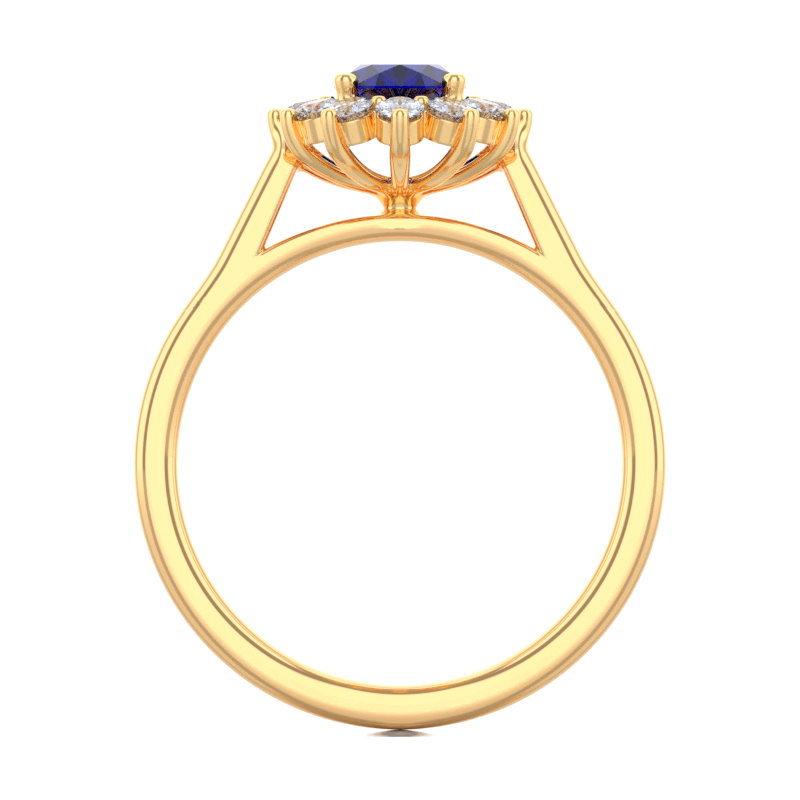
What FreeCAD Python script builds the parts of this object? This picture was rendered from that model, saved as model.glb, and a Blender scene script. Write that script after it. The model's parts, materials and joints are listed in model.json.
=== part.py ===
import FreeCAD, Part
import math
import os
from FreeCAD import Placement, Rotation, Vector

# Oval cluster engagement ring: a cathedral band that carries a basket head, with an oval
# centre stone in four tall claws and twelve tilted brilliants around it.
# Millimetres, +Z up to the stones, finger axis along Y, origin at the middle of the finger bore.

doc = FreeCAD.newDocument("ring")
sheet = doc.addObject("Spreadsheet::Sheet", "Sizes")

SIZES = {
    # band
    "bore_radius": 8.435,
    "band_thickness": 1.68,
    "band_width": 2.0,
    "band_inner_rounding": 0.72,
    "band_outer_rounding": 0.62,
    "shank_top": 3.5,
    # cathedral shoulders: half-widths of their outer and inner faces at two heights
    "arm_foot": 6.6,
    "arm_top": 12.25,
    "arm_outer_foot_x": 7.545,
    "arm_outer_top_x": 4.7,
    "arm_inner_foot_x": 5.845,
    "arm_inner_top_x": 3.44,
    "arm_blend_radius": 10.0,
    "window_rounding": 0.26,
    "window_corner_radius": 0.15,
    # bridge under the head
    "bridge_top_radius": 10.64,
    "bridge_centre_drop": 1.174,
    "bridge_end_x": 5.2,
    "bridge_end_z": 8.11,
    # base cup of the head
    "cup_neck_radius": 0.69,
    "cup_neck_height": 9.6,
    "cup_foot_radius": 0.8,
    "cup_foot_height": 0.2,
    "cup_depth_below_neck": 0.6,
    "cup_rim_radius": 1.1,
    "cup_rim_bottom": 10.05,
    "cup_top": 10.55,
    # halo of brilliants: each stone centre stands on an oval, tilted outwards
    "halo_half_x": 3.54,
    "halo_half_y": 4.49,
    "halo_girdle_height": 13.5,
    "tilt_front": 22.0,
    "tilt_quarter": 21.0,
    "tilt_shoulder": 14.5,
    "tilt_side": 11.5,
    "brilliant_radius": 0.95,
    # collets
    "collet_radius": 0.92,
    "collet_hole_radius": 0.5,
    "collet_depth": 1.25,
    "collet_rim_drop": 0.2,
    "seat_gap": 0.012,
    # outer claws
    "claw_radius": 0.36,
    "claw_offset": 1.18,
    "claw_top": 13.5,
    "claw_spring": 13.3,
    "claw_sag": 2.8,
    # inner beads shared by neighbouring stones
    "bead_radius": 0.325,
    "bead_offset": 0.67,
    "bead_top": 13.98,
    "bead_foot": 12.75,
    # centre claws
    "centre_claw_radius": 0.4,
    "centre_claw_x": 2.08,
    "centre_claw_y": 2.5,
    "centre_claw_top": 14.83,
    "centre_claw_lean": 0.25,
    # seat rail that ties the beads and centre claws together
    "rail_half_x": 2.5,
    "rail_half_y": 3.2,
    "rail_width": 0.4,
    "rail_bottom": 12.45,
    "rail_height": 0.45,
    # centre stone
    "centre_half_x": 2.5,
    "centre_half_y": 3.5,
    "centre_girdle_height": 14.3,
    "centre_girdle": 0.1,
    "centre_crown": 0.81,
    "centre_pavilion": 1.95,
    "centre_table": 0.6,
    "centre_star": 0.6,
}
for row, (alias, value) in enumerate(SIZES.items(), 1):
    sheet.set(f"A{row}", alias)
    sheet.set(f"B{row}", str(value))
    sheet.setAlias(f"B{row}", alias)
doc.recompute()

STONES = 12
FRONT_STONE_AZIMUTH = -90.0
BRILLIANT_TABLE = 0.57
BRILLIANT_STAR = 0.55
BRILLIANT_CROWN_ANGLE = 30.0
BRILLIANT_PAVILION_ANGLE = 40.8
BRILLIANT_GIRDLE = 0.06
LOWER_HALF = 0.22
OVAL_STEPS = 7200
FAR = 40.0
CLOSE = 0.01
HEAD_FLOOR, HEAD_HEIGHT = 9.0, 6.0


def size(alias):
    """A driving dimension, read from the sheet."""
    return float(sheet.get(alias))


def bind(obj, **expressions):
    """Bind properties of an object to expressions on the sheet."""
    for name, expression in expressions.items():
        obj.setExpression(name.replace("__", "."), expression)
    return obj


def add(kind, name, **expressions):
    return bind(doc.addObject(kind, name), **expressions)


def cell(alias):
    return f"Sizes.{alias}"


def boolean(kind, name, base, tools):
    """Cut, fuse or intersect one object with the others, as nested document features."""
    result = base
    for index, tool in enumerate(tools):
        last = index == len(tools) - 1
        step = doc.addObject(kind, name if last else f"{name}_step_{index + 1}")
        step.Base = result
        step.Tool = tool
        result = step
    return result


def cut(name, base, *tools):
    return boolean("Part::Cut", name, base, tools)


def common(name, base, *tools):
    return boolean("Part::Common", name, base, tools)


def fuse(name, base, *tools):
    return boolean("Part::Fuse", name, base, tools)


def along_y(obj, centre_z="0"):
    """Turn a Z cylinder so that it lies along Y, centred on the XZ plane."""
    obj.Placement = Placement(Vector(0, 0, 0), Rotation(Vector(1, 0, 0), 90))
    return bind(obj, Placement__Base__y=f"{obj.Name}.Height / 2", Placement__Base__z=centre_z)


def trapezoid(name, bottom, top, half_bottom, half_top, width):
    """A prism with its trapezoid in the XZ plane, symmetric about Z and centred on that plane."""
    block = add(
        "Part::Wedge", name, Ymin=bottom, Ymax=top, Xmin=f"-({half_bottom})", Xmax=half_bottom,
        X2min=f"-({half_top})", X2max=half_top, Zmin="0", Zmax=width, Z2min="0", Z2max=width,
    )
    block.Placement = Placement(Vector(0, 0, 0), Rotation(Vector(1, 0, 0), 90))
    return bind(block, Placement__Base__y=f"({width}) / 2")


def fillet(name, base, radii):
    """Round the edges of a solid: radii gives an edge's radius, or None to leave it sharp."""
    doc.recompute()
    rounded = doc.addObject("Part::Fillet", name)
    rounded.Base = base
    edges = [(i, radii(edge)) for i, edge in enumerate(base.Shape.Edges, 1)]
    rounded.Edges = [(i, r, r) for i, r in edges if r]
    return rounded


# ---------------------------------------------------------------- band, shoulders and bridge


def band_blank():
    """The band with its cathedral shoulders and bridge, before it is cut into its pieces."""
    width = cell("band_width")
    outer = along_y(add(
        "Part::Cylinder", "band_disc", Radius="Sizes.bore_radius + Sizes.band_thickness", Height=width))
    bore = along_y(add("Part::Cylinder", "finger_hole", Radius=cell("bore_radius"), Height=f"2 * {width}"))
    arms = trapezoid(
        "arm_block", cell("arm_foot"), cell("arm_top"),
        cell("arm_outer_foot_x"), cell("arm_outer_top_x"), width)
    between = trapezoid(
        "window_block", cell("arm_foot"), "Sizes.arm_top + 1",
        cell("arm_inner_foot_x"),
        "Sizes.arm_inner_top_x - (Sizes.arm_inner_foot_x - Sizes.arm_inner_top_x)"
        " / (Sizes.arm_top - Sizes.arm_foot)",
        f"2 * {width}")
    bridge_disc = along_y(
        add("Part::Cylinder", "bridge_disc", Radius=cell("bridge_top_radius"), Height=f"3 * {width}"),
        "-Sizes.bridge_centre_drop")
    window = cut("window", between, bridge_disc)
    blank = cut("band_sharp", fuse("band_and_arms", outer, arms), window, bore)
    corners = fillet("band_corners", blank, corner_radius)
    return fillet("band_blank", corners, side_edge_radius), bridge_disc


def corner_radius(edge):
    """The edges along Y: a long blend where each arm leaves the band, a small one in the window."""
    start, end = (v.Point for v in edge.Vertexes[:2]) if len(edge.Vertexes) > 1 else (Vector(), Vector())
    if abs(start.y - end.y) < 0.5 * size("band_width"):
        return None
    radius = math.hypot(start.x, start.z)
    if start.z > size("arm_top") - CLOSE or start.z < 0:
        return None
    if abs(radius - size("bore_radius") - size("band_thickness")) < 5 * CLOSE:
        return size("arm_blend_radius")
    if radius > size("bore_radius") + 10 * CLOSE:
        return size("window_corner_radius")
    return None


def side_edge_radius(edge):
    """The edges in the two side faces, by what they follow: the bore, the outside or the window."""
    half = size("band_width") / 2
    points = edge.discretize(5)
    if any(abs(abs(p.y) - half) > CLOSE for p in points):
        return None
    if all(p.z > size("arm_top") - CLOSE for p in points):
        return None
    middle = points[2]
    radius = math.hypot(middle.x, middle.z)
    if abs(radius - size("bore_radius")) < CLOSE:
        return size("band_inner_rounding")
    inner_slope = (size("arm_inner_foot_x") - size("arm_inner_top_x")) / (size("arm_top") - size("arm_foot"))
    inner_x = size("arm_inner_foot_x") - inner_slope * (middle.z - size("arm_foot"))
    if middle.z > size("bridge_end_z") - CLOSE and abs(middle.x) < inner_x + 10 * CLOSE:
        return size("window_rounding")
    return size("band_outer_rounding")


def band_pieces(blank, bridge_disc):
    """Cut the blank where the real pieces are soldered: shank, bridge and two shoulders."""
    lower = add("Part::Box", "below_the_shoulders", Length=f"{FAR}", Width=f"{FAR}", Height=f"{FAR}")
    bind(lower, Placement__Base__x=f"-{FAR / 2}", Placement__Base__y=f"-{FAR / 2}",
         Placement__Base__z=f"Sizes.shank_top - {FAR}")
    common("shank", blank, lower)
    slope = "Sizes.bridge_end_x / Sizes.bridge_end_z"
    low, high = cell("shank_top"), cell("arm_top")
    wedge = trapezoid(
        "bridge_sector", low, high, f"{low} * {slope}", f"{high} * {slope}", "3 * Sizes.band_width")
    bridge = common("bridge", blank, bridge_disc, wedge)
    shoulders = {}
    for side, sign in (("left", -1), ("right", 1)):
        beside = add("Part::Box", f"beside_{side}", Length=f"{FAR}", Width=f"{FAR}", Height=f"{FAR}")
        bind(beside, Placement__Base__x=f"{min(0, sign) * FAR}", Placement__Base__y=f"-{FAR / 2}",
             Placement__Base__z=cell("shank_top"))
        half = common(f"band_half_{side}", blank, beside)
        shoulders[sign] = cut(f"shoulder_end_{side}", half, bridge)
    return bridge, shoulders


# ---------------------------------------------------------------- stones


def brilliant_faces(crown, girdle, pavilion, table, star):
    """Flat facets of a round brilliant of girdle radius 1, its girdle centred on the XY plane."""
    def point(radius, step, z):
        angle = math.radians(22.5 * step)
        return Vector(radius * math.cos(angle), radius * math.sin(angle), z)

    half_step = math.cos(math.radians(22.5))
    top = girdle / 2
    star_radius = table * half_step + star * (1 - table * half_step)
    star_z = top + crown * (1 - (star_radius * half_step - table) / (1 - table))
    low_z = -top - pavilion * (1 - LOWER_HALF * half_step)
    culet = Vector(0, 0, -top - pavilion)
    facets = [[point(table, step, top + crown) for step in range(0, 16, 2)]]
    for k in range(0, 16, 2):
        tip_before, tip_after = point(star_radius, k - 1, star_z), point(star_radius, k + 1, star_z)
        low_before, low_after = point(LOWER_HALF, k - 1, low_z), point(LOWER_HALF, k + 1, low_z)
        facets += [
            [point(table, k, top + crown), tip_before, point(1, k, top), tip_after],
            [point(table, k, top + crown), tip_after, point(table, k + 2, top + crown)],
            [tip_before, point(1, k - 1, top), point(1, k, top)],
            [tip_after, point(1, k, top), point(1, k + 1, top)],
            [culet, low_before, point(1, k, -top), low_after],
            [low_before, point(1, k - 1, -top), point(1, k, -top)],
            [low_after, point(1, k, -top), point(1, k + 1, -top)],
        ]
    for k in range(16):
        facets.append([point(1, k, top), point(1, k + 1, top), point(1, k + 1, -top), point(1, k, -top)])
    return facets


def faceted_solid(facets, x_scale, y_scale):
    """A closed solid of flat facets, stretched across the girdle."""
    faces = []
    for corners in facets:
        placed = [Vector(p.x * x_scale, p.y * y_scale, p.z) for p in corners]
        faces.append(Part.Face(Part.makePolygon(placed + placed[:1])))
    solid = Part.Solid(Part.Shell(faces))
    if solid.Volume < 0:
        solid.reverse()
    return solid


def sapphire():
    """The oval centre stone, a brilliant cut stretched along the finger."""
    stone = doc.addObject("Part::Feature", "sapphire")
    facets = brilliant_faces(
        size("centre_crown"), size("centre_girdle"), size("centre_pavilion"),
        size("centre_table"), size("centre_star"))
    stone.Shape = faceted_solid(facets, size("centre_half_x"), size("centre_half_y"))
    stone.Placement = Placement(Vector(0, 0, size("centre_girdle_height")), Rotation())
    return stone


def brilliant_depths():
    """Crown height and pavilion depth of a halo stone."""
    radius = size("brilliant_radius")
    crown = radius * (1 - BRILLIANT_TABLE) * math.tan(math.radians(BRILLIANT_CROWN_ANGLE))
    return crown, radius * math.tan(math.radians(BRILLIANT_PAVILION_ANGLE))


def diamond(number, placement):
    """One halo brilliant in its tilted place."""
    crown, pavilion = brilliant_depths()
    stone = doc.addObject("Part::Feature", f"diamond_{number:02d}")
    facets = brilliant_faces(crown, BRILLIANT_GIRDLE, pavilion, BRILLIANT_TABLE, BRILLIANT_STAR)
    radius = size("brilliant_radius")
    stone.Shape = faceted_solid(facets, radius, radius)
    stone.Placement = placement
    return stone


# ---------------------------------------------------------------- halo layout


def oval_point(turn):
    """Point and outward normal on the oval of stone centres, at an eccentric angle in radians."""
    half_x, half_y = size("halo_half_x"), size("halo_half_y")
    point = Vector(half_x * math.cos(turn), half_y * math.sin(turn), 0)
    normal = Vector(math.cos(turn) / half_x, math.sin(turn) / half_y, 0)
    return point, normal.normalize()


def halo_turns():
    """Eccentric angles of the stones and of the places midway between them, equal steps along the oval."""
    turns = [math.radians(FRONT_STONE_AZIMUTH + 360 * i / OVAL_STEPS) for i in range(OVAL_STEPS + 1)]
    run = [0.0]
    for a, b in zip(turns, turns[1:]):
        run.append(run[-1] + (oval_point(b)[0] - oval_point(a)[0]).Length)
    step = run[-1] / (2 * STONES)
    places = []
    index = 0
    for half in range(2 * STONES):
        while run[index] < half * step - 1e-9:
            index += 1
        places.append(turns[index])
    return places[0::2], places[1::2]


def azimuth(point):
    return math.atan2(point.y, point.x)


# ---------------------------------------------------------------- head


def base_cup(bridge):
    """The turned cup on the bridge that the outer claws spring from, flared both ways from its neck."""
    neck, neck_z = size("cup_neck_radius"), size("cup_neck_height")
    foot, rim = size("cup_foot_radius"), size("cup_rim_radius")
    low, foot_z = neck_z - size("cup_depth_below_neck"), neck_z - size("cup_foot_height")
    rim_z, top = size("cup_rim_bottom"), size("cup_top")
    waist, foot_start, rim_start = Vector(neck, 0, neck_z), Vector(foot, 0, foot_z), Vector(rim, 0, rim_z)
    # each flare bows towards the axis, by this share of its own height and reach
    bow_out, bow_up = 0.2, 0.5
    foot_middle = Vector(neck + bow_out * (foot - neck), 0, neck_z + bow_up * (foot_z - neck_z))
    flare_middle = Vector(neck + bow_out * (rim - neck), 0, neck_z + bow_up * (rim_z - neck_z))
    edges = [
        Part.LineSegment(Vector(0, 0, low), Vector(foot, 0, low)),
        Part.LineSegment(Vector(foot, 0, low), foot_start),
        Part.Arc(foot_start, foot_middle, waist),
        Part.Arc(waist, flare_middle, rim_start),
        Part.LineSegment(rim_start, Vector(rim, 0, top)),
        Part.LineSegment(Vector(rim, 0, top), Vector(0, 0, top)),
        Part.LineSegment(Vector(0, 0, top), Vector(0, 0, low)),
    ]
    turned = doc.addObject("Part::Feature", "cup_turning")
    profile = Part.Face(Part.Wire([edge.toShape() for edge in edges]))
    turned.Shape = profile.revolve(Vector(0, 0, 0), Vector(0, 0, 1), 360)
    return cut("base_cup", turned, bridge)


def claw_path(tip_radius):
    """Claw centre line in the XZ plane, a quarter of an ellipse, and the middle of the claw's dome."""
    middle_z, sag = size("claw_spring"), size("claw_sag")
    ellipse = Part.Ellipse(
        Vector(tip_radius, 0, middle_z), Vector(0, 0, middle_z + sag), Vector(0, 0, middle_z))
    dome_z = size("claw_top") - size("claw_radius")
    start = 2 * math.pi - math.acos(2 * CLOSE / tip_radius)
    end = 2 * math.pi - math.asin((middle_z - dome_z) / sag)
    path = Part.Wire([Part.ArcOfEllipse(ellipse, start, end).toShape()])
    return path, ellipse.value(start), ellipse.value(end)


def claw_wire(name, tip):
    """One outer claw: a round wire along its path with a domed tip, turned to its azimuth."""
    path, start, dome_centre = claw_path(math.hypot(tip.x, tip.y))
    spine = doc.addObject("Part::Feature", f"{name}_path")
    spine.Shape = path
    turn = Placement(Vector(0, 0, 0), Rotation(Vector(0, 0, 1), math.degrees(azimuth(tip))))
    spine.Placement = turn
    profile = add("Part::Circle", f"{name}_section", Radius=cell("claw_radius"))
    profile.Placement = turn.multiply(Placement(start, Rotation(Vector(0, 1, 0), 90)))
    doc.recompute()
    sweep = doc.addObject("Part::Sweep", f"{name}_wire")
    sweep.Sections = [profile]
    sweep.Spine = (spine, ["Edge1"])
    sweep.Solid = True
    dome = add("Part::Sphere", f"{name}_dome", Radius=cell("claw_radius"))
    dome.Placement = Placement(turn.multVec(dome_centre), Rotation())
    return fuse(f"{name}_round", sweep, dome)


def sector(name, before, after):
    """An upright wedge about the Z axis between two azimuths."""
    block = doc.addObject("Part::Feature", name)
    reach = FAR / 2
    corners = [Vector(0, 0, HEAD_FLOOR)]
    for angle in (before, after):
        corners.append(Vector(reach * math.cos(angle), reach * math.sin(angle), HEAD_FLOOR))
    face = Part.Face(Part.makePolygon(corners + corners[:1]))
    block.Shape = face.extrude(Vector(0, 0, HEAD_HEIGHT))
    return block


def collet(number, placement, wedge):
    """The cup under one halo stone, square to the stone: its wall, its bearing and its light hole."""
    name = f"collet_{number:02d}"

    def along_stone(depth):
        return placement.multiply(Placement(Vector(0, 0, depth), Rotation()))

    wall = add("Part::Cylinder", f"{name}_wall", Radius=cell("collet_radius"),
               Height="Sizes.collet_depth - Sizes.collet_rim_drop")
    wall.Placement = along_stone(-size("collet_depth"))
    pavilion = brilliant_depths()[1]
    apex = -BRILLIANT_GIRDLE / 2 - pavilion - size("seat_gap")
    bearing = doc.addObject("Part::Cone", f"{name}_bearing")
    bearing.Radius1 = 0
    bearing.Radius2 = -apex * size("brilliant_radius") / pavilion
    bearing.Height = -apex
    bearing.Placement = along_stone(apex)
    hole = add("Part::Cylinder", f"{name}_hole", Radius=cell("collet_hole_radius"),
               Height="2 * Sizes.collet_depth")
    hole.Placement = along_stone(-1.5 * size("collet_depth"))
    return cut(name, common(f"{name}_trimmed", wall, wedge), bearing, hole)


def upright(name, radius, foot, tip):
    """A straight round wire with a domed tip, from its foot to the middle of its dome."""
    axis = tip - foot
    wire = add("Part::Cylinder", f"{name}_wire", Radius=radius)
    wire.Height = axis.Length
    wire.Placement = Placement(foot, Rotation(Vector(0, 0, 1), axis))
    dome = add("Part::Sphere", f"{name}_dome", Radius=radius)
    dome.Placement = Placement(tip, Rotation())
    return fuse(f"{name}_round", wire, dome)


def seat_rail(*tools):
    """The oval rail inside the halo that ties the beads and the centre claws together."""
    def oval(name, inset):
        base = add("Part::Ellipse", name, MajorRadius=f"Sizes.rail_half_y - {inset}",
                   MinorRadius=f"Sizes.rail_half_x - {inset}")
        base.Placement = Placement(Vector(0, 0, size("rail_bottom")), Rotation(Vector(0, 0, 1), 90))
        block = add("Part::Extrusion", f"{name}_block", LengthFwd=cell("rail_height"))
        block.Base = base
        block.DirMode = "Custom"
        block.Dir = Vector(0, 0, 1)
        block.Solid = True
        return block

    blank = cut("rail_blank", oval("rail_outside", "0"), oval("rail_inside", cell("rail_width")))
    return cut("seat_rail", blank, *tools)


# ---------------------------------------------------------------- assembly

blank, bridge_disc = band_blank()
bridge, shoulders = band_pieces(blank, bridge_disc)
cup = base_cup(bridge)
centre_stone = sapphire()

stone_turns, bead_turns = halo_turns()
TILTS = ("tilt_front", "tilt_quarter", "tilt_shoulder", "tilt_side")


def mirrored(index):
    """Stones that are mirror images share a number: 0 front and back, 3 the two sides."""
    return min(index % 6, 6 - index % 6)


tips, stones, collets = [], [], []
for index, turn in enumerate(stone_turns):
    centre, normal = oval_point(turn)
    heading = Rotation(Vector(0, 0, 1), math.degrees(azimuth(normal)))
    lean = Rotation(Vector(0, 1, 0), size(TILTS[mirrored(index)]))
    place = Placement(Vector(centre.x, centre.y, size("halo_girdle_height")), heading.multiply(lean))
    before, after = (azimuth(oval_point(bead_turns[i])[0]) for i in (index - 1, index))
    wedge = sector(f"collet_{index + 1:02d}_sector", before, after)
    stones.append(diamond(index + 1, place))
    collets.append(collet(index + 1, place, wedge))
    tips.append(centre + normal * size("claw_offset"))

for index, tip in enumerate(tips):
    name = f"outer_claw_{index + 1:02d}"
    here = azimuth(tip)
    before = azimuth(tips[index - 1])
    after = azimuth(tips[(index + 1) % STONES])
    gap_before, gap_after = (here - before) % (2 * math.pi), (after - here) % (2 * math.pi)
    wedge = sector(f"{name}_sector", here - gap_before / 2, here + gap_after / 2)
    kept = common(f"{name}_kept", claw_wire(name, tip), wedge)
    claw = cut(name, kept, cup, collets[index], stones[index])
    if mirrored(index) == 3:
        side = 1 if tip.x > 0 else -1
        name = "shoulder_right" if side > 0 else "shoulder_left"
        cut(name, shoulders[side], claw, collets[index])

beads, centre_claws = [], []
for index, turn in enumerate(bead_turns):
    point, normal = oval_point(turn)
    neighbours = [index, (index + 1) % STONES]
    gems = [stones[i] for i in neighbours] + [collets[i] for i in neighbours]
    if index % 3 == 1:
        number = len(centre_claws) + 1
        sign_x, sign_y = math.copysign(1, point.x), math.copysign(1, point.y)
        lean = size("centre_claw_lean")
        head = Vector(sign_x * size("centre_claw_x"), sign_y * size("centre_claw_y"),
                      size("centre_claw_top") - size("centre_claw_radius"))
        foot = Vector(head.x - sign_x * lean, head.y - sign_y * lean, size("rail_bottom"))
        wire = upright(f"centre_claw_{number:02d}", cell("centre_claw_radius"), foot, head)
        centre_claws.append(cut(f"centre_claw_{number:02d}", wire, centre_stone, *gems))
    else:
        number = len(beads) + 1
        spot = point - normal * size("bead_offset")
        foot = Vector(spot.x, spot.y, size("bead_foot"))
        tip = Vector(spot.x, spot.y, size("bead_top") - size("bead_radius"))
        wire = upright(f"shared_bead_{number:02d}", cell("bead_radius"), foot, tip)
        beads.append(cut(f"shared_bead_{number:02d}", wire, *gems))

rail = seat_rail(*collets, *beads, *centre_claws)
doc.recompute()

NODES = ["shank", "bridge", "shoulder_left", "shoulder_right", "base_cup", "seat_rail", "sapphire"]
NODES += [f"outer_claw_{n:02d}" for n in range(1, STONES + 1)]
NODES += [f"collet_{n:02d}" for n in range(1, STONES + 1)]
NODES += [f"diamond_{n:02d}" for n in range(1, STONES + 1)]
NODES += [f"shared_bead_{n:02d}" for n in range(1, len(beads) + 1)]
NODES += [f"centre_claw_{n:02d}" for n in range(1, len(centre_claws) + 1)]

for obj in doc.Objects:
    if {"Invalid", "Error"} & set(obj.State):
        raise RuntimeError(f"{obj.Label} failed to build: {obj.State}")
for node in NODES:
    shape = doc.getObject(node).Shape
    if shape.isNull() or not shape.isValid() or not shape.Solids:
        raise RuntimeError(f"{node} has no valid solid")

os.makedirs("parts", exist_ok=True)
for node in NODES:
    doc.getObject(node).Shape.exportStep(f"parts/{node}.step")
print(len(NODES), "parts written")
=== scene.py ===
import json
import math

import bmesh
import bpy
import numpy as np
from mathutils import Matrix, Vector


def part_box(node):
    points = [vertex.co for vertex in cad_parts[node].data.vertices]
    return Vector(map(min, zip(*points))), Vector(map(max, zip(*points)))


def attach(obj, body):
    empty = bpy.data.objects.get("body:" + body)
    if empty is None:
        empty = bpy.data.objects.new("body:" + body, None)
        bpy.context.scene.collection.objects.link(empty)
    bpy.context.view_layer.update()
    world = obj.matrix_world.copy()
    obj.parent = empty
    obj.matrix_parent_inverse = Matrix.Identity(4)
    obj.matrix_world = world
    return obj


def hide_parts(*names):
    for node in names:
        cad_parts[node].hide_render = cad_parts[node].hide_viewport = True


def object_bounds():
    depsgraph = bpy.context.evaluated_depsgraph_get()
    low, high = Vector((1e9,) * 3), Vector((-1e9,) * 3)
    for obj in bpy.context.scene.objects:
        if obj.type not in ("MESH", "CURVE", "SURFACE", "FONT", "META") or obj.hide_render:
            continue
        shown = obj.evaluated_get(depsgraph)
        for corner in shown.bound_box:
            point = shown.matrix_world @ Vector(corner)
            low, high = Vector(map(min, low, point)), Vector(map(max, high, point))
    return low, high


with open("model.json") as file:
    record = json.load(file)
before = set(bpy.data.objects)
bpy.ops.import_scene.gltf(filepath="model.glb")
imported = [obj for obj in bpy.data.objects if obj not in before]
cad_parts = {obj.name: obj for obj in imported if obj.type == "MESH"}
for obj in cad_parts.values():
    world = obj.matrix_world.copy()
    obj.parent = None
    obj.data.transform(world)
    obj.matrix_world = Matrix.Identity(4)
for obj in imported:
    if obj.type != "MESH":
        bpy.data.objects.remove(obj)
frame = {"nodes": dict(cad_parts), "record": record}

# An oval cluster engagement ring. The gold is modelled as one distance field, so that every claw,
# cup and shoulder runs into its neighbour with a cast fillet, and is then cut into the CAD's pieces.
# Shapes are worked out in millimetres and made into meshes in metres.

MM = 0.001
cad_low, cad_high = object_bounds()

STONES = 12
# how far the halo stones lean outward, from the front one round to the side one
TILTS = [math.radians(angle) for angle in (22.0, 21.0, 14.5, 11.5)]
# points on the halo's oval, used to space the stones evenly along it
OVAL_STEPS = 7200
# the mesher's grid spacing, the grid steps in a block, and the value given to points it doesn't sample
GRID, BLOCK, FAR = 0.075, 8, 9.0

# ---------------------------------------------------------------- sizes, from the frame


def node_box(name):
    low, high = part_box(name)
    return np.array(low) / MM, np.array(high) / MM


def middle(name):
    low, high = node_box(name)
    return (low + high) / 2


shank_low, shank_high = node_box("shank")
BORE = frame["record"]["mounts"][0]["dims"]["r_mm"]
BAND_RADIUS = -shank_low[2]
BAND_HALF_WIDTH = shank_high[1]
SHANK_TOP = shank_high[2]
ARM_TOP = node_box("shoulder_right")[1][2]
HALO_X, HALO_Y = middle("diamond_04")[0], -middle("diamond_01")[1]
CLAW_TOP = node_box("outer_claw_01")[1][2]
BEAD_TOP = node_box("shared_bead_01")[1][2]
CUP_TOP = node_box("base_cup")[1][2]
RAIL_LOW, RAIL_HIGH = node_box("seat_rail")
GIRDLE_HEIGHT = 13.5

CLAW_RADIUS = 0.335
CLAW_OFFSET = 1.18
# each outer claw runs along a quarter of an oval: the height of its middle, and its half-height
CLAW_MIDDLE, CLAW_SAG = 13.3, 2.8
DOME_RADIUS = 0.46
# the claws thicken by CLAW_SWELL around one height
CLAW_SWELL, SWELL_HEIGHT, SWELL_SPREAD = 0.07, 11.75, 0.75
# the cup's waist, as radius and height, and the radius of its rim
NECK, CUP_RIM = (0.62, 9.62), 1.35
# CUP_SLOPE turns the gap measured level across to the flare into a distance
CUP_FOOT_FLARE, CUP_SLOPE, CUP_ROUNDING = 0.3, 0.75, 0.1
HEAD_LOW = 8.9
RAIL_WIDTH, RAIL_ROUNDING = 0.4, 0.08
COLLET_RADIUS, COLLET_DEPTH = 0.92, 1.25
BEAD_RADIUS = 0.35
# the centre claws' wire in the CAD, and with its burnished head
CENTRE_CLAW_RADIUS, VISUAL_CLAW_RADIUS = 0.4, 0.47
# the centre claws thin by CLAW_WAIST around one height
CLAW_WAIST, WAIST_HEIGHT, WAIST_SPREAD = 0.06, 14.0, 0.3
# the round on the head of a bead or centre claw, as a share of its radius
POST_ROUNDING = 0.7
SEAT_APEX, SEAT_SLOPE, RIM_DROP, LIGHT_HOLE = -0.86, 1.158, 0.25, 0.5
COLLET_FOOT_ROUNDING, COLLET_RIM_ROUNDING = 0.12, 0.05

# the cathedral shoulder's outer and inner faces, as (half-width, height) at foot and top
ARM_OUTER = ((7.545, 6.6), (4.7, 12.25))
ARM_INNER = ((5.845, 6.6), (3.44, 12.25))
ARM_TOP_SLOPE, ARM_SLOPE_START, ARM_BEND = 1.6, 4.25, 0.1
# the arm begins at the height ARM_FOOT, inside the band, and the window beside it at WINDOW_FOOT
ARM_FOOT, WINDOW_FOOT = 6.0, 6.6
# the arm narrows along the finger by PINCH on each side between these heights
PINCH, PINCH_LOW, PINCH_HIGH = 0.3, 11.2, 13.0
BRIDGE_TOP_RADIUS, BRIDGE_DROP = 10.64, 1.174
# the bridge ends on a line from the bore's middle with this slope, and takes in this much fillet
BRIDGE_SLOPE, BRIDGE_MARGIN = 5.2 / 8.11, 0.1
BORE_ROUNDING, OUTER_ROUNDING, WINDOW_ROUNDING = 0.72, 0.62, 0.28

# the distance over which two shapes run together at a joint
CLAW_BLEND, COLLET_BLEND, POST_BLEND = 0.16, 0.1, 0.08
CUP_BLEND, HALO_BLEND, BAND_BLEND = 0.3, 0.14, 0.4
ARM_TOP_BLEND, ARM_FOOT_BLEND = 0.3, 0.39
WINDOW_BLEND, WINDOW_FOOT_BLEND, WINDOW_CUT_BLEND = 0.12, 0.01, 0.05

# light from the panels and from the dark ceiling, and the white that the camera sees behind the ring
PANEL_LIGHT, CEILING_LIGHT, BACKDROP_LIGHT = 1.42, 0.4, 1.05
# the panels' light by angle, in degrees from straight before the ring round to straight behind it
PANEL_STOPS = ((0, 1.0), (22, 1.0), (31, 0.26), (52, 0.26), (62, 1.0), (100, 1.0), (112, 0.5), (124, 0.5),
               (136, 0.95), (180, 0.95))
# the height angles where the panels end and the ceiling begins
CEILING_START, CEILING_FULL = 57, 65
# the lamp's edges, each as a distance over its height: near, far and side, from dark to full
LAMP_NEAR, LAMP_FAR, LAMP_SIDE = (0.1, 0.16), (0.48, 0.42), (1.0, 0.8)

# the camera looks along the finger: the width it sees and its distance in metres, its height in mm
VIEW_WIDTH, CAMERA_DISTANCE, CAMERA_HEIGHT = 0.0304, 0.3, 2.41

# ---------------------------------------------------------------- distance fields


def smooth_min(a, b, k):
    """The smaller of two distances, blended where they are within k of each other."""
    h = np.clip(0.5 + 0.5 * (b - a) / k, 0, 1)
    return b * (1 - h) + a * h - k * h * (1 - h)


def smooth_max(a, b, k):
    return -smooth_min(-a, -b, k)


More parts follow.
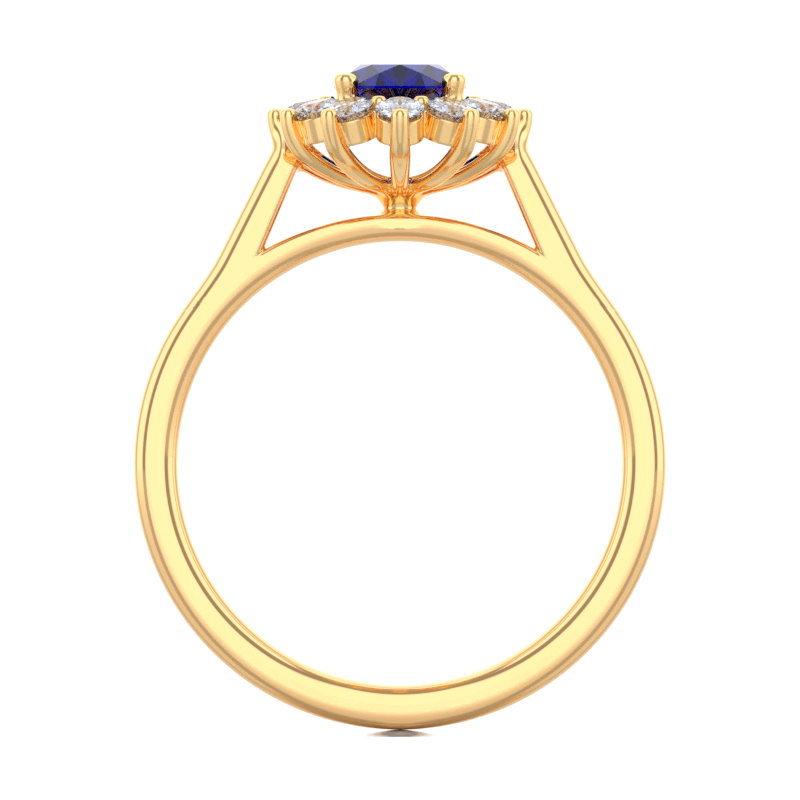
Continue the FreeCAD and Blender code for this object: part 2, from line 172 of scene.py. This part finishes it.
def rounded_max(a, b, r):
    """Where two faces meet, with a round edge of radius r."""
    qa, qb = np.maximum(a + r, 0), np.maximum(b + r, 0)
    return np.minimum(np.maximum(a, b) + r, 0) + np.hypot(qa, qb) - r


def beside_line(x, z, line):
    """Distance from a line in the XZ plane, positive on the side away from the Z axis."""
    (x0, z0), (x1, z1) = line
    length = math.hypot(x1 - x0, z1 - z0)
    return ((x - x0) * (z1 - z0) - (z - z0) * (x1 - x0)) / length


def band_field(p):
    """Shank, shoulders and bridge together: one flat-sided wire with a window beside each shoulder."""
    x, y, z = np.abs(p[:, 0]), np.abs(p[:, 1]), p[:, 2]
    pinch = np.clip((z - PINCH_LOW) / (PINCH_HIGH - PINCH_LOW), 0, 1)
    side = y - BAND_HALF_WIDTH + PINCH * pinch * pinch * (3 - 2 * pinch)
    radius = np.hypot(x, z)
    arm = np.maximum(beside_line(x, z, ARM_OUTER), ARM_FOOT - z)
    # the arm's top slopes up outside the collet, to run into the side claw
    arm_top = ARM_TOP + ARM_TOP_SLOPE * ARM_BEND * np.logaddexp(0, (x - ARM_SLOPE_START) / ARM_BEND)
    arm = smooth_max(arm, (z - arm_top) / math.hypot(1, ARM_TOP_SLOPE), ARM_TOP_BLEND)
    outline = smooth_min(radius - BAND_RADIUS, arm, ARM_FOOT_BLEND)
    bridge = np.hypot(x, z + BRIDGE_DROP) - BRIDGE_TOP_RADIUS
    window = smooth_max(beside_line(x, z, ARM_INNER), -bridge, WINDOW_BLEND)
    window = smooth_max(window, WINDOW_FOOT - z, WINDOW_FOOT_BLEND)
    outer = rounded_max(outline, side, OUTER_ROUNDING)
    bore = rounded_max(BORE - radius, side, BORE_ROUNDING)
    around_window = rounded_max(-window, side, WINDOW_ROUNDING)
    return smooth_max(np.maximum(outer, bore), around_window, WINDOW_CUT_BLEND)


def claw_field(p, tip):
    """A round wire curving up and out along a quarter of an oval, with a domed tip."""
    reach = math.hypot(*tip)
    ex, ey = tip[0] / reach, tip[1] / reach
    u, w, v = p[:, 0] * ex + p[:, 1] * ey, p[:, 1] * ex - p[:, 0] * ey, p[:, 2]
    out, below = np.maximum(u, 0), np.minimum(v - CLAW_MIDDLE, 0)
    scale = np.hypot(out / reach, below / CLAW_SAG)
    slope = np.hypot(out / reach ** 2, below / CLAW_SAG ** 2) / np.maximum(scale, 1e-6)
    near = (scale - 1) / np.maximum(slope, 1e-6)
    near = np.where(u < 0, np.hypot(u, v - CLAW_MIDDLE + CLAW_SAG), near)
    swell = CLAW_SWELL * np.exp(-((v - SWELL_HEIGHT) / SWELL_SPREAD) ** 2)
    tube = np.hypot(near, w) - CLAW_RADIUS - swell
    dome_middle, dome_edge, well_inside = CLAW_TOP - DOME_RADIUS, 0.08, -1.0
    dome = np.sqrt((u - reach) ** 2 + w ** 2 + np.maximum(v - dome_middle, 0) ** 2) - DOME_RADIUS
    return rounded_max(tube, np.where(v > dome_middle, dome, well_inside), dome_edge)


def collet_field(p, centre, normal, tilt):
    """The cup under one halo stone, square to the stone."""
    q = p - np.array([centre[0], centre[1], GIRDLE_HEIGHT])
    axis = np.array([normal[0] * math.sin(tilt), normal[1] * math.sin(tilt), math.cos(tilt)])
    height = q @ axis
    around = np.linalg.norm(q - height[:, None] * axis, axis=1)
    wall = rounded_max(around - COLLET_RADIUS, -COLLET_DEPTH - height, COLLET_FOOT_ROUNDING)
    wall = rounded_max(wall, height + RIM_DROP, COLLET_RIM_ROUNDING)
    bearing = (around - (height - SEAT_APEX) * SEAT_SLOPE) / math.hypot(1, SEAT_SLOPE)
    hollow = np.minimum(bearing, around - LIGHT_HOLE)
    return np.maximum(wall, -hollow)


def post_field(p, foot, head, top, radius):
    """A wire leaning from foot to head, flat at the foot and rounded at the top."""
    axis, past_head = head - foot, 1.2
    t = np.clip((p[:, 2] - foot[2]) / axis[2], 0, past_head)
    off = p[:, :2] - (foot[:2] + t[:, None] * axis[:2])
    tube = np.hypot(off[:, 0], off[:, 1]) - radius
    return np.maximum(rounded_max(tube, p[:, 2] - top, POST_ROUNDING * radius), foot[2] - p[:, 2])


def centre_claw_radius(z):
    return VISUAL_CLAW_RADIUS - CLAW_WAIST * np.exp(-((z - WAIST_HEIGHT) / WAIST_SPREAD) ** 2)


def rail_field(p):
    """The oval rail that the beads and centre claws stand on."""
    mid_x, mid_y = RAIL_HIGH[0] - RAIL_WIDTH / 2, RAIL_HIGH[1] - RAIL_WIDTH / 2
    scale = np.hypot(p[:, 0] / mid_x, p[:, 1] / mid_y)
    slope = np.hypot(p[:, 0] / mid_x ** 2, p[:, 1] / mid_y ** 2) / np.maximum(scale, 1e-6)
    across = np.abs(scale - 1) / np.maximum(slope, 1e-6) - RAIL_WIDTH / 2
    up = np.abs(p[:, 2] - (RAIL_LOW[2] + RAIL_HIGH[2]) / 2) - (RAIL_HIGH[2] - RAIL_LOW[2]) / 2
    return rounded_max(across, up, RAIL_ROUNDING)


def cup_field(p):
    """The turned cup: a waist at NECK, flaring up to the claws and down to the bridge."""
    around, z = np.hypot(p[:, 0], p[:, 1]), p[:, 2]
    rise = np.clip((z - NECK[1]) / (CUP_TOP - NECK[1]), 0, 1)
    drop = np.clip((NECK[1] - z) / (NECK[1] - HEAD_LOW), 0, 1)
    flare = NECK[0] + (CUP_RIM - NECK[0]) * rise ** 1.5 + CUP_FOOT_FLARE * drop ** 2
    ends = np.maximum(z - CUP_TOP, HEAD_LOW - z)
    return rounded_max(CUP_SLOPE * (around - flare), ends, CUP_ROUNDING)


# ---------------------------------------------------------------- layout of the head


def halo_places():
    """The halo stones' middles, equal steps apart along their oval from the front one round by +X."""
    turns = np.radians(np.linspace(-90, 270, OVAL_STEPS + 1))
    line = np.stack([HALO_X * np.cos(turns), HALO_Y * np.sin(turns)], 1)
    along = np.append(0, np.cumsum(np.linalg.norm(np.diff(line, axis=0), axis=1)))
    wanted = np.arange(STONES) * along[-1] / STONES
    at = np.interp(wanted, along, turns)
    return np.stack([HALO_X * np.cos(at), HALO_Y * np.sin(at)], 1)


collet_centres = halo_places()
normals = []
for centre in collet_centres:
    normal = np.array([centre[0] / HALO_X ** 2, centre[1] / HALO_Y ** 2])
    normals.append(normal / np.linalg.norm(normal))
tips = [c + CLAW_OFFSET * n for c, n in zip(collet_centres, normals)]
tilts = [TILTS[min(i % 6, 6 - i % 6)] for i in range(STONES)]

beads = {}
for number in range(1, STONES - 3):
    name = f"shared_bead_{number:02d}"
    spot = middle(name)
    beads[name] = (np.array([spot[0], spot[1], RAIL_LOW[2]]), np.array([spot[0], spot[1], BEAD_TOP]))
centre_claws = {}
for number in range(1, 5):
    name = f"centre_claw_{number:02d}"
    low, high = node_box(name)
    sign = np.sign((low + high)[:2])
    far = np.maximum(np.abs(low[:2]), np.abs(high[:2])) - CENTRE_CLAW_RADIUS
    near = np.minimum(np.abs(low[:2]), np.abs(high[:2])) + CENTRE_CLAW_RADIUS
    centre_claws[name] = (np.append(sign * near, RAIL_LOW[2]), np.append(sign * far, high[2]))

FIELDS = {}
for index in range(STONES):
    FIELDS[f"outer_claw_{index + 1:02d}"] = (
        lambda p, i=index: claw_field(p, tips[i]))
    FIELDS[f"collet_{index + 1:02d}"] = (
        lambda p, i=index: collet_field(p, collet_centres[i], normals[i], tilts[i]))
for name, (foot, head) in beads.items():
    FIELDS[name] = lambda p, a=foot, b=head: post_field(p, a, b, b[2], BEAD_RADIUS)
for name, (foot, head) in centre_claws.items():
    FIELDS[name] = lambda p, a=foot, b=head: post_field(p, a, b, b[2], centre_claw_radius(p[:, 2]))
FIELDS["seat_rail"] = rail_field
FIELDS["base_cup"] = cup_field
FIELDS["band"] = band_field


def gold_field(p):
    """Distance from the surface of all the gold, with its fillets."""
    field = band_field(p)
    high = p[:, 2] > HEAD_LOW
    q = p[high]
    claws = np.full(len(q), FAR)
    halo = np.full(len(q), FAR)
    for name, make in FIELDS.items():
        if name.startswith("outer_claw"):
            claws = smooth_min(claws, make(q), CLAW_BLEND)
        elif name.startswith("collet"):
            halo = smooth_min(halo, make(q), COLLET_BLEND)
    for name, make in FIELDS.items():
        if name.startswith(("shared_bead", "centre_claw", "seat_rail")):
            halo = smooth_min(halo, make(q), POST_BLEND)
    basket = smooth_min(claws, cup_field(q), CUP_BLEND)
    head = smooth_min(basket, halo, HALO_BLEND)
    field[high] = smooth_min(head, field[high], BAND_BLEND)
    return field


# ---------------------------------------------------------------- surface of the field


def gradient(p, step=0.004):
    g = np.empty_like(p)
    for axis in range(3):
        shift = np.zeros(3)
        shift[axis] = step
        g[:, axis] = (gold_field(p + shift) - gold_field(p - shift)) / (2 * step)
    return g


def quarter_grid():
    """Grid lines over the quarter with x and y positive. The first x and y cells span the planes."""
    reach = np.array([cad_high[0], cad_high[1], 0]) / MM + 3 * GRID
    counts = [int(reach[0] / GRID) + 2, int(reach[1] / GRID) + 2,
              int((cad_high[2] - cad_low[2]) / MM / GRID) + 8]
    xs = (np.arange(counts[0]) - 0.5) * GRID
    ys = (np.arange(counts[1]) - 0.5) * GRID
    zs = cad_low[2] / MM - 3.3 * GRID + np.arange(counts[2]) * GRID
    return counts, xs, ys, zs


def sampled_field(counts, xs, ys, zs):
    """The gold's distance at the grid points of every block that its surface can pass through."""
    starts = [range(0, c, BLOCK) for c in counts]
    corners = np.array([(i, j, k) for i in starts[0] for j in starts[1] for k in starts[2]])
    half = BLOCK / 2
    centres = np.stack([(corners[:, 0] + half - 0.5) * GRID, (corners[:, 1] + half - 0.5) * GRID,
                        zs[0] + (corners[:, 2] + half) * GRID], 1)
    depth = gold_field(centres)
    # a block's corners lie within 0.87 of its side from its middle, and the rest is margin
    near = np.abs(depth) < BLOCK * GRID * 1.1
    mask = np.zeros(counts, bool)
    for i, j, k in corners[near]:
        mask[max(i - 1, 0):i + BLOCK + 2, max(j - 1, 0):j + BLOCK + 2, max(k - 1, 0):k + BLOCK + 2] = True
    # a block too far from the surface to be sampled is all metal or all air
    values = np.full(counts, FAR)
    for i, j, k in corners[depth < 0]:
        values[i:i + BLOCK, j:j + BLOCK, k:k + BLOCK] = -FAR
    index = np.argwhere(mask)
    points = np.stack([xs[index[:, 0]], ys[index[:, 1]], zs[index[:, 2]]], 1)
    values[mask] = gold_field(points)
    return values


def net_points(values, inside, counts):
    """The cells that the surface passes through, and in each the middle of its edge crossings."""
    corner_offsets = [(i, j, k) for i in (0, 1) for j in (0, 1) for k in (0, 1)]

    def at(array, offset):
        return array[tuple(slice(o, n - 1 + o) for o, n in zip(offset, counts))]

    votes = sum(at(inside, o).astype(np.int8) for o in corner_offsets)
    cells = np.argwhere((votes > 0) & (votes < len(corner_offsets)))
    total = np.zeros((len(cells), 3))
    hits = np.zeros(len(cells))
    for a in corner_offsets:
        for axis in range(3):
            if a[axis]:
                continue
            b = tuple(o + (1 if n == axis else 0) for n, o in enumerate(a))
            ca, cb = cells + a, cells + b
            fa, fb = values[tuple(ca.T)], values[tuple(cb.T)]
            cross = (fa < 0) != (fb < 0)
            t = np.where(cross, fa / np.where(cross, fa - fb, 1), 0)
            place = np.array(a, float) + t[:, None] * (np.array(b) - a)
            total += np.where(cross[:, None], place, 0)
            hits += cross
    return cells, cells + total / hits[:, None]


def pull_to_surface(verts, on_x, on_y):
    """Moves the points onto the surface, and keeps those of the symmetry planes in their planes."""
    passes, least_slope, longest_move = 3, 0.05, 0.4 * GRID
    for _ in range(passes):
        verts[on_x, 0] = 0
        verts[on_y, 1] = 0
        g = gradient(verts)
        length = np.maximum((g * g).sum(1), least_slope)
        step = -(gold_field(verts) / length)[:, None] * g
        size = np.linalg.norm(step, axis=1)
        verts += step * np.minimum(1, longest_move / np.maximum(size, 1e-9))[:, None]
    verts[on_x, 0] = 0
    verts[on_y, 1] = 0


def net_faces(inside, cells, counts):
    """One face across each grid edge that crosses the surface, joining the four cells around it."""
    number = np.full(counts, -1)
    number[tuple(cells.T)] = np.arange(len(cells))
    quads = []
    for axis in range(3):
        u, v = (axis + 1) % 3, (axis + 2) % 3
        low = [slice(0, -1) if n == axis else slice(None) for n in range(3)]
        up = [slice(1, None) if n == axis else slice(None) for n in range(3)]
        where = np.argwhere(inside[tuple(low)] != inside[tuple(up)])
        # edges outside the quarter, or on its far borders, make no face
        where = where[(where[:, u] >= 1) & (where[:, v] >= 1)]
        ring = []
        for du, dv in ((-1, -1), (0, -1), (0, 0), (-1, 0)):
            cell = where.copy()
            cell[:, u] += du
            cell[:, v] += dv
            ring.append(number[tuple(cell.T)])
        ring = np.stack(ring, 1)
        outward = inside[tuple(where.T)]
        quads.append(np.where(outward[:, None], ring, ring[:, ::-1]))
    quads = np.vstack(quads)
    return quads[(quads >= 0).all(1)]


def quarter_surface():
    """Surface net of the quarter with x and y positive."""
    counts, xs, ys, zs = quarter_grid()
    values = sampled_field(counts, xs, ys, zs)
    inside = values < 0
    cells, grid_place = net_points(values, inside, counts)
    verts = np.stack([(grid_place[:, 0] - 0.5) * GRID, (grid_place[:, 1] - 0.5) * GRID,
                      zs[0] + grid_place[:, 2] * GRID], 1)
    on_x, on_y = cells[:, 0] == 0, cells[:, 1] == 0
    pull_to_surface(verts, on_x, on_y)
    normals_out = gradient(verts)
    normals_out /= np.maximum(np.linalg.norm(normals_out, axis=1), 1e-9)[:, None]
    return verts, normals_out, net_faces(inside, cells, counts), on_x, on_y


def whole_surface():
    """The quarter mirrored about X and Y, with the vertices on the planes shared."""
    verts, normals_out, quads, on_x, on_y = quarter_surface()
    n = len(verts)
    copies = [(1, 1), (-1, 1), (1, -1), (-1, -1)]
    all_verts, all_normals, faces = [], [], []
    for sx, sy in copies:
        flip = np.array([sx, sy, 1])
        all_verts.append(verts * flip)
        all_normals.append(normals_out * flip)
        use_x = np.where(on_x, 1, sx)
        use_y = np.where(on_y, 1, sy)
        owner = (use_x < 0).astype(int) + 2 * (use_y < 0).astype(int)
        index = owner * n + np.arange(n)
        ring = index[quads]
        faces.append(ring if sx * sy > 0 else ring[:, ::-1])
    return np.vstack(all_verts), np.vstack(all_normals), np.vstack(faces)


def piece_names(points):
    """Which piece each point of the surface belongs to."""
    names = list(FIELDS)
    best = band_field(points)
    label = np.full(len(points), names.index("band"))
    high = np.where(points[:, 2] > HEAD_LOW)[0]
    for number, name in enumerate(names):
        if name == "band":
            continue
        value = FIELDS[name](points[high])
        closer = value < best[high]
        best[high[closer]] = value[closer]
        label[high[closer]] = number
    result = np.array(names, dtype=object)[label]
    band = result == "band"
    x, z = points[:, 0], points[:, 2]
    result[band & (z <= SHANK_TOP)] = "shank"
    upper = band & (z > SHANK_TOP)
    under_arch = np.hypot(x, z + BRIDGE_DROP) < BRIDGE_TOP_RADIUS + BRIDGE_MARGIN
    bridge = upper & (np.abs(x) < BRIDGE_SLOPE * z) & under_arch
    result[upper & (x < 0)] = "shoulder_left"
    result[upper & (x >= 0)] = "shoulder_right"
    result[bridge] = "bridge"
    return result


def make_piece(name, verts, normals_in, faces):
    """One piece: its part of the surface, with caps on the cuts to its neighbours.

    Some cuts stay open. They don't show while the ring is whole.
    """
    used, index = np.unique(faces, return_inverse=True)
    index = index.reshape(faces.shape)
    mesh = bpy.data.meshes.new(name)
    mesh.from_pydata((verts[used] * MM).tolist(), [], index.tolist())
    work = bmesh.new()
    work.from_mesh(mesh)
    rim = [e for e in work.edges if e.is_boundary]
    if rim:
        # each cap is a fan about its middle, which follows the rim more closely than one flat face
        caps = bmesh.ops.holes_fill(work, edges=rim, sides=0)["faces"]
        bmesh.ops.poke(work, faces=caps)
    work.to_mesh(mesh)
    work.free()
    mesh.polygons.foreach_set("use_smooth", [True] * len(mesh.polygons))
    directions = np.zeros((len(mesh.vertices), 3))
    directions[:len(used)] = normals_in[used]
    mesh.normals_split_custom_set_from_vertices(directions.tolist())
    mesh.update()
    piece = bpy.data.objects.new(name, mesh)
    bpy.context.scene.collection.objects.link(piece)
    return piece


# ---------------------------------------------------------------- materials


def new_material(name):
    material = bpy.data.materials.new(name)
    material.use_nodes = True
    nodes = material.node_tree.nodes
    nodes.clear()
    output = nodes.new("ShaderNodeOutputMaterial")
    return material, material.node_tree, output


def add_node(tree, kind, **values):
    node = tree.nodes.new(kind)
    for key, value in values.items():
        if key in node.inputs:
            node.inputs[key].default_value = value
        else:
            setattr(node, key, value)
    return node


def gold_material(name, colour, roughness):
    """Polished yellow gold: faint polishing drag, and a little wear in the gloss."""
    material, tree, output = new_material(name)
    link = tree.links.new
    shader = add_node(tree, "ShaderNodeBsdfPrincipled", Metallic=1.0)
    place = add_node(tree, "ShaderNodeTexCoord")
    cloud = add_node(tree, "ShaderNodeTexNoise", Scale=420.0, Detail=3.0)
    tone = add_node(tree, "ShaderNodeMapRange")
    tone.inputs["To Min"].default_value = roughness * 0.7
    tone.inputs["To Max"].default_value = roughness * 1.5
    tint = add_node(tree, "ShaderNodeMix", data_type="RGBA")
    tint.inputs["A"].default_value = (*colour, 1)
    tint.inputs["B"].default_value = (colour[0], colour[1] * 0.975, colour[2] * 0.93, 1)
    drag = add_node(tree, "ShaderNodeTexNoise", Scale=9000.0, Detail=2.0)
    stretch = add_node(tree, "ShaderNodeMapping")
    stretch.inputs["Scale"].default_value = (1.0, 0.12, 1.0)
    bump = add_node(tree, "ShaderNodeBump", Strength=0.01, Distance=0.00002)
    link(place.outputs["Object"], cloud.inputs["Vector"])
    link(cloud.outputs["Fac"], tone.inputs["Value"])
    link(tone.outputs["Result"], shader.inputs["Roughness"])
    link(cloud.outputs["Fac"], tint.inputs["Factor"])
    link(tint.outputs["Result"], shader.inputs["Base Color"])
    link(place.outputs["Object"], stretch.inputs["Vector"])
    link(stretch.outputs["Vector"], drag.inputs["Vector"])
    link(drag.outputs["Fac"], bump.inputs["Height"])
    link(bump.outputs["Normal"], shader.inputs["Normal"])
    link(shader.outputs["BSDF"], output.inputs["Surface"])
    return material


def gem_material(name, colour, ior, density, depth_colour, sheen):
    """A clear faceted stone: colour on its surface, by its depth if it has a density, and in its sheen."""
    material, tree, output = new_material(name)
    link = tree.links.new
    shader = add_node(tree, "ShaderNodeBsdfPrincipled", IOR=ior, Roughness=0.0)
    shader.inputs["Transmission Weight"].default_value = 1.0
    shader.inputs["Specular Tint"].default_value = (*sheen, 1)
    place = add_node(tree, "ShaderNodeTexCoord")
    silk = add_node(tree, "ShaderNodeTexNoise", Scale=700.0, Detail=2.0)
    tint = add_node(tree, "ShaderNodeMix", data_type="RGBA")
    tint.inputs["A"].default_value = (*colour, 1)
    tint.inputs["B"].default_value = tuple(c * 0.96 for c in colour) + (1,)
    link(place.outputs["Object"], silk.inputs["Vector"])
    link(silk.outputs["Fac"], tint.inputs["Factor"])
    link(tint.outputs["Result"], shader.inputs["Base Color"])
    link(shader.outputs["BSDF"], output.inputs["Surface"])
    if density:
        inside = add_node(tree, "ShaderNodeVolumeAbsorption", Density=density)
        inside.inputs["Color"].default_value = (*depth_colour, 1)
        link(inside.outputs["Volume"], output.inputs["Volume"])
    return material


gold_band = gold_material("gold_band", (1.0, 0.66, 0.32), 0.05)
# painted light: the head's gold is the band's gold made a little greener, so paler and less orange, to
# look like the head's reflections
gold_head = gold_material("gold_head", (1.0, 0.69, 0.32), 0.05)
sapphire_glass = gem_material("sapphire_glass", (0.05, 0.07, 0.9), 1.77, 700.0, (0.02, 0.04, 0.68),
                              (0.02, 0.04, 0.24))
diamond_glass = gem_material("diamond_glass", (0.74, 0.81, 0.97), 2.417, 0.0, None, (1, 1, 1))

# ---------------------------------------------------------------- pieces

verts, vertex_normals, quads = whole_surface()
owners = piece_names(verts[quads].mean(1))
for name in sorted(set(owners)):
    piece = make_piece(f"{name}_gold", verts, vertex_normals, quads[owners == name])
    on_band = name in ("shank", "bridge", "shoulder_left", "shoulder_right")
    piece.data.materials.append(gold_band if on_band else gold_head)
    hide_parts(name)
    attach(piece, "root")

for name, node in frame["nodes"].items():
    if name.startswith("diamond") or name == "sapphire":
        glass = sapphire_glass if name == "sapphire" else diamond_glass
        for place in node.material_slots:
            place.material = glass

# ---------------------------------------------------------------- stage, light and camera


def floor_sheet():
    """A pale flat sheet with the slightest rise where the ring stands, so that its shade can be seen. Its
    colour also carries painted shade, darker near the ring and paler further out.
    """
    size, steps, rise, spread = 400.0, 160, 0.28, 1.4
    line = size * np.sign(np.linspace(-1, 1, steps + 1)) * np.abs(np.linspace(-1, 1, steps + 1)) ** 3
    gx, gy = np.meshgrid(line, line, indexing="ij")
    far = np.hypot(gx, gy)
    height = -BAND_RADIUS - rise * (1 - np.exp(-(far / spread) ** 2))
    points = np.stack([gx, gy, height], -1).reshape(-1, 3) * MM
    row = steps + 1
    faces = [(i * row + j, (i + 1) * row + j, (i + 1) * row + j + 1, i * row + j + 1)
             for i in range(steps) for j in range(steps)]
    mesh = bpy.data.meshes.new("floor")
    mesh.from_pydata(points.tolist(), [], faces)
    mesh.polygons.foreach_set("use_smooth", [True] * len(faces))
    floor = bpy.data.objects.new("floor", mesh)
    bpy.context.scene.collection.objects.link(floor)
    material, tree, output = new_material("floor_painted_shade")
    shader = add_node(tree, "ShaderNodeBsdfPrincipled", Roughness=0.12, IOR=3.2)
    place = add_node(tree, "ShaderNodeTexCoord")
    far_off = add_node(tree, "ShaderNodeVectorMath", operation="LENGTH")
    # painted shade: the floor's colour is 0.6 within 20 mm of the ring's middle, rising to 0.9 by 140 mm
    tone = add_node(tree, "ShaderNodeMapRange", interpolation_type="SMOOTHSTEP")
    tone.inputs["From Min"].default_value, tone.inputs["From Max"].default_value = 0.02, 0.14
    tone.inputs["To Min"].default_value, tone.inputs["To Max"].default_value = 0.6, 0.9
    tree.links.new(place.outputs["Object"], far_off.inputs[0])
    tree.links.new(far_off.outputs["Value"], tone.inputs["Value"])
    tree.links.new(tone.outputs["Result"], shader.inputs["Base Color"])
    tree.links.new(shader.outputs["BSDF"], output.inputs["Surface"])
    mesh.materials.append(material)


def studio_world():
    """White panels before, beside and behind the ring, with dark gaps between and a dark ceiling."""
    world = bpy.data.worlds.new("studio")
    world.use_nodes = True
    tree = world.node_tree
    tree.nodes.clear()
    link = tree.links.new

    def maths(operation, *values):
        node = tree.nodes.new("ShaderNodeMath")
        node.operation = operation
        for socket, value in zip(node.inputs, values):
            if isinstance(value, (int, float)):
                socket.default_value = value
            else:
                link(value, socket)
        return node.outputs[0]

    def step(value, low, high):
        node = tree.nodes.new("ShaderNodeMapRange")
        node.interpolation_type = "SMOOTHSTEP"
        link(value, node.inputs["Value"])
        node.inputs["From Min"].default_value = low
        node.inputs["From Max"].default_value = high
        return node.outputs["Result"]

    output = tree.nodes.new("ShaderNodeOutputWorld")
    place = tree.nodes.new("ShaderNodeTexCoord")
    split = tree.nodes.new("ShaderNodeSeparateXYZ")
    link(place.outputs["Generated"], split.inputs["Vector"])
    x, y, z = split.outputs
    aside = maths("ABSOLUTE", x)
    around = maths("DIVIDE", maths("ARCTAN2", aside, maths("MULTIPLY", y, -1.0)), math.pi)
    ramp = tree.nodes.new("ShaderNodeValToRGB")
    while len(ramp.color_ramp.elements) < len(PANEL_STOPS):
        ramp.color_ramp.elements.new(0.5)
    for element, (angle, value) in zip(ramp.color_ramp.elements, PANEL_STOPS):
        element.position = angle / 180
        element.color = (value, value, value, 1)
    link(around, ramp.inputs["Fac"])
    panels = maths("MULTIPLY", ramp.outputs["Color"], PANEL_LIGHT)
    ceiling = step(z, math.sin(math.radians(CEILING_START)), math.sin(math.radians(CEILING_FULL)))
    behind = maths("DIVIDE", y, z)
    lamp = maths("MULTIPLY", step(behind, *LAMP_NEAR), step(behind, *LAMP_FAR))
    lamp = maths("MULTIPLY", lamp, step(maths("DIVIDE", aside, z), *LAMP_SIDE))
    top = maths("MULTIPLY_ADD", lamp, PANEL_LIGHT - CEILING_LIGHT, CEILING_LIGHT)
    below = maths("MULTIPLY", panels, maths("SUBTRACT", 1.0, ceiling))
    light = maths("MULTIPLY_ADD", top, ceiling, below)
    lit = tree.nodes.new("ShaderNodeBackground")
    lit.inputs["Color"].default_value = (1, 1, 1, 1)
    link(light, lit.inputs["Strength"])
    backdrop = tree.nodes.new("ShaderNodeBackground")
    backdrop.inputs["Color"].default_value = (1, 1, 1, 1)
    backdrop.inputs["Strength"].default_value = BACKDROP_LIGHT
    seen = tree.nodes.new("ShaderNodeLightPath")
    mix = tree.nodes.new("ShaderNodeMixShader")
    link(seen.outputs["Is Camera Ray"], mix.inputs["Fac"])
    link(lit.outputs["Background"], mix.inputs[1])
    link(backdrop.outputs["Background"], mix.inputs[2])
    link(mix.outputs["Shader"], output.inputs["Surface"])
    bpy.context.scene.world = world


def camera():
    data = bpy.data.cameras.new("camera")
    data.type = "ORTHO"
    data.ortho_scale = VIEW_WIDTH
    data.clip_start, data.clip_end = 0.001, 5.0
    seen = bpy.data.objects.new("camera", data)
    seen.location = (0, -CAMERA_DISTANCE, CAMERA_HEIGHT * MM)
    seen.rotation_euler = (math.pi / 2, 0, 0)
    bpy.context.scene.collection.objects.link(seen)
    bpy.context.scene.camera = seen


floor_sheet()
studio_world()
camera()
scene = bpy.context.scene
scene.view_settings.view_transform = "Standard"
scene.cycles.max_bounces = 24
scene.cycles.transmission_bounces = 20
scene.cycles.glossy_bounces = 12
